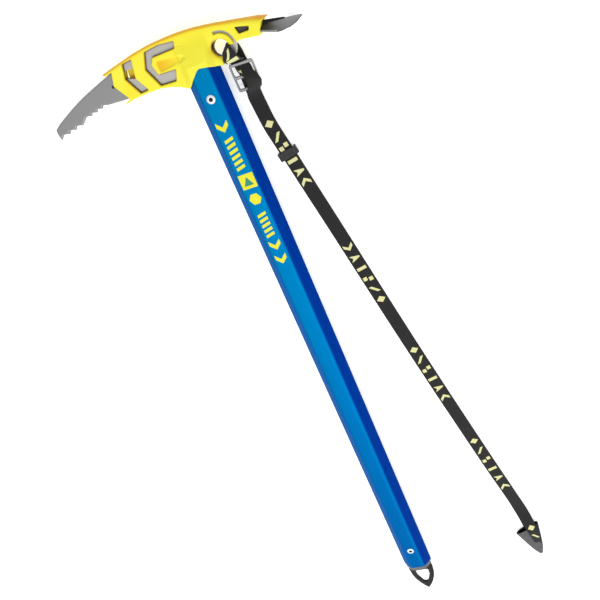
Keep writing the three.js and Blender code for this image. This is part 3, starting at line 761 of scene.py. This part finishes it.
PICK_TOP = [(-161.6, 24.1), (-154, 28.2), (-147.1, 31.2), (-137, 35.6), (-126.5, 39.7), (-117, 42.9),
            (-108.5, 45.4), (-94.5, 49.4), (-82.4, 52.7), (-60, 57.2), (-41, 59.6), (-24, 60)]
BLADE = [
    *PICK_TOP[::-1], (-162.2, 20), (-161.3, 13), *teeth(-157.2, 15.6, 3, 8.4, 1.6),
    *teeth(-126, 23.6, 4, 6.9, 1.3), (-97.8, 27.4), (-93, 27), (-84, 26.2), (-76, 26), (-40, 26.4), (-24, 25),
    (-18, 25), (-18, SHOULDER), (-14.2, SHOULDER), (-14.2, -9), (-10, -15), (10, -15), (14.2, -9),
    (14.2, SHOULDER), (18, SHOULDER), *arc(14.1, -122, 10.5, 24), (64, 39.6), (72, 38.6), (86, 37.2),
    (88.6, 38.4), (87.6, 40.8), (77.5, 43.2), (66.8, 45.5), (57, 49.3), (37, 53.6), (16, 57.4), (-1, 59.7),
]
LOCK_HOLE = rounded([(-72.3, 43.4), (-60, 39.6), (-58.6, 47.2), (-61.5, 49.6), (-70.6, 49.2)], 1.2)
NOTCH = rounded([(-87.2, 41.8), (-87.2, 39.8), (-76, 38.8), (-76, 41.2)], 0.4, 2)
PLATE_HALF = 2


def make_blade():
    """One plate: the pick with its ground edges, the eye, the tang and the tongue over the adze."""
    outline = rounded(BLADE, 0.35, 2)

    def field(x, y):
        within = np.minimum(depth_in(outline, x, y), -depth_in(LOCK_HOLE, x, y))
        return np.minimum(within, from_hole(x, y) - BLADE_EYE)

    def top(x, y, d):
        ground = np.where(x < -70, np.clip(1 - d / 1.1, 0, 1) * 0.45, 0)
        notch = 1.15 * smoothstep(depth_in(NOTCH, x, y), -0.2, 0.3)
        return PLATE_HALF - fillet(d, 0.35) - ground - notch

    def painted_shade(x, y, d, z):
        """Shadowed steel: along the window edges, in the adze's window, round the hole and in the notch."""
        edge = 0.85 * bell(window_edge(x, y), 0.7)
        inner = 0.9 * smoothstep(depth_in(ADZE_WINDOW, x, y), -2, 0)
        hole = 0.95 * (from_hole(x, y) < 7.8)
        notch = 0.8 * smoothstep(depth_in(NOTCH, x, y), -0.6, 0)
        return edge + inner + hole + notch

    made = plate("pick_plate", HEAD_STEEL, field, (-163, -16), (90, 61), 0.4, top, mirrored(top),
                 shades={"painted_shade": painted_shade})
    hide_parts("head_blade")


make_blade()


ADZE_NECK, ADZE_END, ADZE_START = 59, 102.4, 60
NECK_HALF, EDGE_HALF = 6.6, 27


def adze_places(s, t):
    """The adze's upper and lower skin at s, 0 to 1 from neck to edge, and t, -1 to 1 from side to side."""
    bow = 4.6 * t * t
    corner = 3 * max(0.0, (abs(t) - 0.55) / 0.45) ** 2.6
    x = ADZE_NECK + (ADZE_END - bow - corner - ADZE_NECK) * s
    out = x - ADZE_START
    along = min(max(out / 38, 0), 1)
    crest = 43.7 - 0.105 * out - 0.00115 * out ** 2
    droop = 5 - 0.6 * along + 2.6 * math.sin(math.pi * along) ** 2
    half = NECK_HALF + (EDGE_HALF - NECK_HALF) * float(smoothstep(x, 62, 98))
    y = crest - droop * abs(t) ** 2.1
    thick = 3 * (1 - 0.7 * float(smoothstep(s, 0.75, 1))) * (1 - 0.5 * t ** 4)
    rounding = 0.5 * max(0.0, (abs(t) - 0.94) / 0.06) ** 2
    return (x, y - rounding, half * t), (x, y - thick + rounding, (half - 1.4 * (1 - s)) * t)


def make_adze():
    """A pressed scoop: it widens and droops from its neck to a ground cutting edge."""
    rings, lips = [], []
    sideways = np.linspace(-1, 1, 49)
    for s in np.linspace(1, 0, 45):
        upper, lower = zip(*(adze_places(s, t) for t in sideways))
        rings.append(upper + lower[::-1])
        # Painted highlight along the lip on one side, over the part of the scoop nearer the neck.
        lip = smoothstep(sideways, 0.9, 1) * (s < 0.6)
        lips += [lip, lip[::-1]]
    made = tube("adze_scoop", rings, ADZE_STEEL, smooth=50, tints={"lip": np.concatenate(lips)})
    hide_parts("adze")


make_adze()


# ---- shaft section: six-sided. Half its width, half its depth and half the width of its flats ----
SHAFT_WIDE, SHAFT_DEEP, SHAFT_FLAT = 18.4, 11, 8.5


def hexagon_height(x, grow):
    """Half height of the shaft's section, grown outwards, at a distance x from its middle."""
    slope = SHAFT_DEEP / (SHAFT_WIDE - SHAFT_FLAT)
    side = (SHAFT_WIDE - np.abs(x)) * slope + grow * math.hypot(1, slope)
    flat = SHAFT_DEEP + grow
    blend = 2.5
    h = np.clip(0.5 + 0.5 * (flat - side) / blend, 0, 1)
    return flat * (1 - h) + side * h - blend * h * (1 - h) * 0.5


def hexagon_ring(grow, y):
    """The shaft's section at a height y, with rounded corners, grown outwards."""
    wide, deep, flat = SHAFT_WIDE, SHAFT_DEEP, SHAFT_FLAT
    corners = [(wide, 0), (flat, deep), (-flat, deep), (-wide, 0), (-flat, -deep), (flat, -deep)]
    scale = np.array([(wide + grow * 1.35) / wide, (deep + grow) / deep])
    ring = rounded(np.array(corners) * scale, 2.6, 8)
    return [(x, y, z) for x, z in ring[::-1]]


# ---- head cover: two halves, mirrored about the blade ----
COVER_CREST = [
    (74.5, 47.3), (66, 50), (56.9, 52.1), (46, 54.5), (36.7, 56.2), (27, 58.2), (16, 60), (7, 61.4),
    (-1.2, 62.2), (-12, 62.8), (-24.2, 62.8), (-33, 62.7), (-41, 62.3), (-54, 60.8), (-70, 58), (-90, 54.2),
]
COVER = [
    (-84.2, 22.2), (-79, 22.6), (-70, 24), (-57, 24.4), (-42.5, 24), (-32, 21.6), (-24, 18.6), (-16.4, 14.4),
    (-12, 17.4), (-1, 27.4), (1.6, 28.4), (9.4, 27), (14.5, 24.6), (19, 23.4),
    *arc(RING_OUTER, -103, -103, 0), *arc(COVER_EYE, -103, -365, 48), *arc(RING_INNER, -365, -262, 24),
    *arc(RING_OUTER, -262, -361, 24), (44, 37.4), (50.2, 36.7), (58, 35.6), (64.1, 34.7), (65.3, 39),
    (69.3, 45.2), *COVER_CREST, (-87.5, 51.8), (-80.3, 53), (-84.2, 41), (-74.8, 25.6),
]
RECESS = rounded([(-36, 47.5), (-10, 44.5), (-6, 42), (-10, 39.6), (-36, 37)], 2.5)
BACKING = rounded([(-69.4, 36), (-54, 36), (-54, 52), (-67.4, 52)])
CREASE = [(-13, 53.4), (-6.5, 51.7), (-9, 44), (-12.2, 39.9), (-20, 37)]
SIDE_HEIGHT, COLLAR_WALL, COLLAR_TOP = 5.4, 2, 32


def cover_top(x, y, d):
    """Flat sides, a collar over the shaft that tapers towards the crest, and a flare over the adze's neck."""
    collar = SHAFT_DEEP + COLLAR_WALL + 0.1
    taper = collar - np.maximum(y - COLLAR_TOP, 0) * 0.37
    socket = np.minimum(hexagon_height(x, COLLAR_WALL), taper)
    flare = SIDE_HEIGHT + 4.2 * smoothstep(x, 46, 66)
    height = smooth_max(smooth_max(np.full_like(x, SIDE_HEIGHT), socket, 2.2), flare, 0.6)
    recess = 1.3 * smoothstep(depth_in(RECESS, x, y), -1.2, 1.6)
    dish = 1.3 * bell(from_hole(x, y) - 7.3, 2.6) * (height < 8)
    crease = 0.35 * bell(line_distance(CREASE, x, y), 0.5)
    roll = fillet(line_distance(COVER_CREST, x, y), 2.4 + 3.4 * smoothstep(x, 25, 66))
    return height - recess - dish - crease - np.maximum(fillet(d, 1.1), roll)


def cover_bottom(x, y, d):
    """Hollow: it clears the blade and the shaft, and elsewhere nearly meets the other half."""
    low = np.where(depth_in(BLADE, x, y) > -0.3, PLATE_HALF + 0.3, 0.15)
    shaft = np.where(y < SHOULDER, hexagon_height(x, 0) + 0.45, 0)
    return np.minimum(np.maximum(low, shaft), cover_top(x, y, d) - 0.3)


def cover_orange_shade(x, y, d, z):
    """Painted orange shade on the crest, thumb recess, dish of the hole, window rims, flare and far half's
    backing.
    """
    crest = 0.8 * bell(line_distance(COVER_CREST, x, y), 2.1)
    recess = 0.75 * smoothstep(depth_in(RECESS, x, y), -0.8, 1.4) * np.clip(1 - (x + 38) / 26, 0, 1)
    dish = 0.7 * bell(from_hole(x, y) - 7.3, 2.2) * np.clip((HOLE[0] - x) / 6, 0, 1)
    rim = 0.45 * bell(window_edge(x, y), 0.7)
    flare = 0.25 * bell(x - 68, 5) * smoothstep(y, 44, 48)
    backing = smoothstep(depth_in(BACKING, x, y), -0.6, 0.4) * (z < 3) * np.clip(1 - (y - 38) / 16, 0, 1)
    return crest + recess + dish + rim + flare + backing


def cover_dark_shade(x, y, d, z):
    """Painted shade: dark walls inside the windows and the hole, and a dark crescent on the left of the hole."""
    wall = smoothstep(-z, -4.6, -3.4) * (d < 0.05)
    windows = sum(bell(depth_in(window, x, y), 0.8) for window in WINDOWS) * (depth_in(BACKING, x, y) < 1)
    around = from_hole(x, y)
    hole = 0.9 * bell(around - COVER_EYE, 0.5)
    leftward = np.clip((HOLE[0] - x - 2) / 4, 0, 1) * np.clip((y - HOLE[1] + 6) / 8, 0.25, 1)
    return wall * (windows + hole) + smoothstep(-around, -9.3, -8.1) * leftward


def make_cover(name, node, near):
    """One half of the cover. The far one also has the backing seen through the front window."""
    outline = rounded(COVER, 0.5, 2)

    def field(x, y):
        depth = np.minimum.reduce([depth_in(outline, x, y), *(-depth_in(window, x, y) for window in WINDOWS)])
        return depth if near else np.maximum(depth, depth_in(BACKING, x, y))

    pose = AXE if near else AXE @ Matrix.Scale(-1, 4, (0, 0, 1))
    # Both tints on the cover are painted shade: an orange one and a near-black one.
    made = plate(name, YELLOW, field, (-91, 13), (76, 64), 0.45, cover_top, cover_bottom, pose=pose,
                 shades={"orange_shade": cover_orange_shade, "painted_shade": cover_dark_shade})
    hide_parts(node)


make_cover("cover_near", "head_cover_near", True)
make_cover("cover_far", "head_cover_far", False)


# ---- shaft ----
def make_shaft():
    """A tube with a rounded lower end; its bore is modelled only as deep as it can be seen."""
    low, high, wall, seen = -626.5, 31, 1.4, 30
    lower_end = [(-wall, seen), (-wall, 0.3), (-1.1, 0), (-0.35, 0), (-0.08, 0.12), (0, 0.4)]
    rings = [hexagon_ring(grow, low + up) for grow, up in lower_end]
    rings += [hexagon_ring(0, y) for y in np.linspace(low + 5, high, 60)]
    rings += [hexagon_ring(-wall, high), hexagon_ring(-wall, high - seen)]
    made = tube("shaft", rings, BLUE, cap=False, smooth=30)
    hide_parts("shaft_tube")


make_shaft()


def make_rivet(y, node):
    """A hollow rivet with a rolled rim at each end, and a dark core of painted shade so that it reads as a hole.
    """
    rim = [(2.9, 11.3), (4.15, 11.3), (4.2, 11.45), (4.0, 11.75), (3.4, 12), (2.25, 12.05), (2.0, 12)]
    rings = lathe([(r, -z) for r, z in rim[::-1]] + rim, y)
    made = tube("rivet_" + node, rings + rings[:1], RIVET_METAL, cap=False, smooth=50)
    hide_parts(node)
    bore_shade = tube("bore_shade_" + node, lathe([(2.15, -11.6), (2.15, 11.6)], y), RIVET_BORE_SHADE, smooth=50)


make_rivet(0, "head_rivet")
make_rivet(-596, "spike_rivet")


# ---- spike ----
def both_sides(left):
    """A closed outline from its left half."""
    return left + [(-x, y) for x, y in left[::-1] if x]


def make_spike():
    """A plate with a tang, two shoulders, ground edges and a D-shaped eye."""
    outline = rounded(both_sides([
        (-11, -583), (-11, -631.8), (-15.2, -631.8), (-15.4, -640), (-14.4, -650), (-12.4, -657.5),
        (-9.2, -664.6), (-5, -671.4), (0, -677.4)]), 0.8, 3)
    eye = rounded(both_sides([(-8.6, -642), (-8.2, -652), (-2.4, -664.8)]), 2.4, 6)

    def field(x, y):
        return np.minimum(depth_in(outline, x, y), -depth_in(eye, x, y))

    def top(x, y, d):
        outer = depth_in(outline, x, y)
        ground = np.where(y < -634, np.clip(1 - outer / 3.2, 0, 1) * 1.1, 0)
        return PLATE_HALF - fillet(d, 0.4) - ground

    made = plate("spike_plate", SPIKE_STEEL, field, (-16, -678), (16, -582), 0.4, top, mirrored(top))
    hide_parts("spike")


make_spike()


# ---- CAD pieces that are kept ----
def dress(nodes, finish):
    for node in nodes:
        frame["nodes"][node].data.materials.clear()
        frame["nodes"][node].data.materials.append(finish.material)


dress(("spike_plug_near", "spike_plug_far", "head_spacer_near", "head_spacer_far"), PLUG)
dress(("leash_keeper",), BLACK_PLASTIC)


# ---- marks on the shaft ----
def shaft_mark(name, outline, finish=MARK_PAINT, lift=0.03):
    """A printed mark just above the near flat. Its outline runs counter-clockwise, so that it faces out."""
    points = [(x, y, SHAFT_DEEP + lift) for x, y in outline]
    made = add_piece(name, points, [tuple(range(len(points)))], finish)


def chevron(y, half=5.9, arm=5.6, thick=5):
    """Pointing down the shaft, with its top ends at y."""
    return [(-half, y), (-half, y - thick), (0, y - arm - thick), (half, y - thick), (half, y), (0, y - arm)]


def make_marks():
    shaft_mark("chevron_top", [(x - 0.6, y) for x, y in chevron(-21.5)])
    shaft_mark("chevron_low_a", chevron(-147.5))
    shaft_mark("chevron_low_b", chevron(-163.5))
    bar_pitch = 5.6
    for group, count, first in (("top", 6, -38.5), ("low", 5, -117)):
        for k in range(count):
            y = first - bar_pitch * k
            bar = [(-4.8, y - 4.3), (4.4, y - 1.9), (4.4, y + 1.2), (-4.8, y - 1.2)]
            shaft_mark(f"bar_{group}_{k}", bar)
    shaft_mark("square", rectangle(-7, -90, 8.2, -75))
    shaft_mark("peak_large", [(-4.5, -87), (5.4, -87), (0.4, -78)], MARK_SHADE, 0.05)
    corners = np.radians(range(0, 360, 60))
    shaft_mark("hexagon", [(0.4 + 6.2 * math.cos(a), -101.5 + 6.2 * math.sin(a)) for a in corners])


make_marks()


# ---- cords: places along the front, back and tail straps are worked out and not used ----
def declare(route):
    places = [route.frame(distance)[0] for distance in np.linspace(0, route.length, 121)]


declare(front_route)
declare(back_route)
declare(tail_route)


# ---- floor and light ----
def make_floor():
    """A wide pale floor just under the part. It gives off a little light, so that it stays white."""
    mesh = bpy.data.meshes.new("floor")
    mesh.from_pydata([(x, y, 0) for x, y in rectangle(-6, -6, 6, 6)], [], [(0, 1, 2, 3)])
    floor = bpy.data.objects.new("floor", mesh)
    floor.location.z = -0.0004
    bpy.context.scene.collection.objects.link(floor)
    f = Finish("floor", Base_Color=(0.9, 0.9, 0.9, 1), Roughness=0.9, Specular_IOR_Level=0.1,
               Emission_Color=(1, 1, 1, 1), Emission_Strength=0.5)
    mesh.materials.append(f.material)


def make_light(name, place, size, power):
    """A round lamp that points at the origin."""
    data = bpy.data.lights.new(name, "AREA")
    data.shape = "DISK"
    data.size = size
    data.energy = power
    light = bpy.data.objects.new(name, data)
    bpy.context.scene.collection.objects.link(light)
    light.location = place
    light.rotation_mode = "QUATERNION"
    light.rotation_quaternion = (-Vector(place)).to_track_quat("-Z", "Y")


def make_world(strength):
    world = bpy.data.worlds.new("world")
    world.use_nodes = True
    background = world.node_tree.nodes["Background"].inputs
    background["Color"].default_value = (1, 1, 1, 1)
    background["Strength"].default_value = strength
    bpy.context.scene.world = world


make_floor()
make_light("key", (-0.35, -0.9, 2.0), 1.6, 32)
make_light("fill", (1.4, -0.6, 1.6), 1.4, 8)
make_world(0.75)
bpy.context.scene.view_settings.view_transform = "Standard"
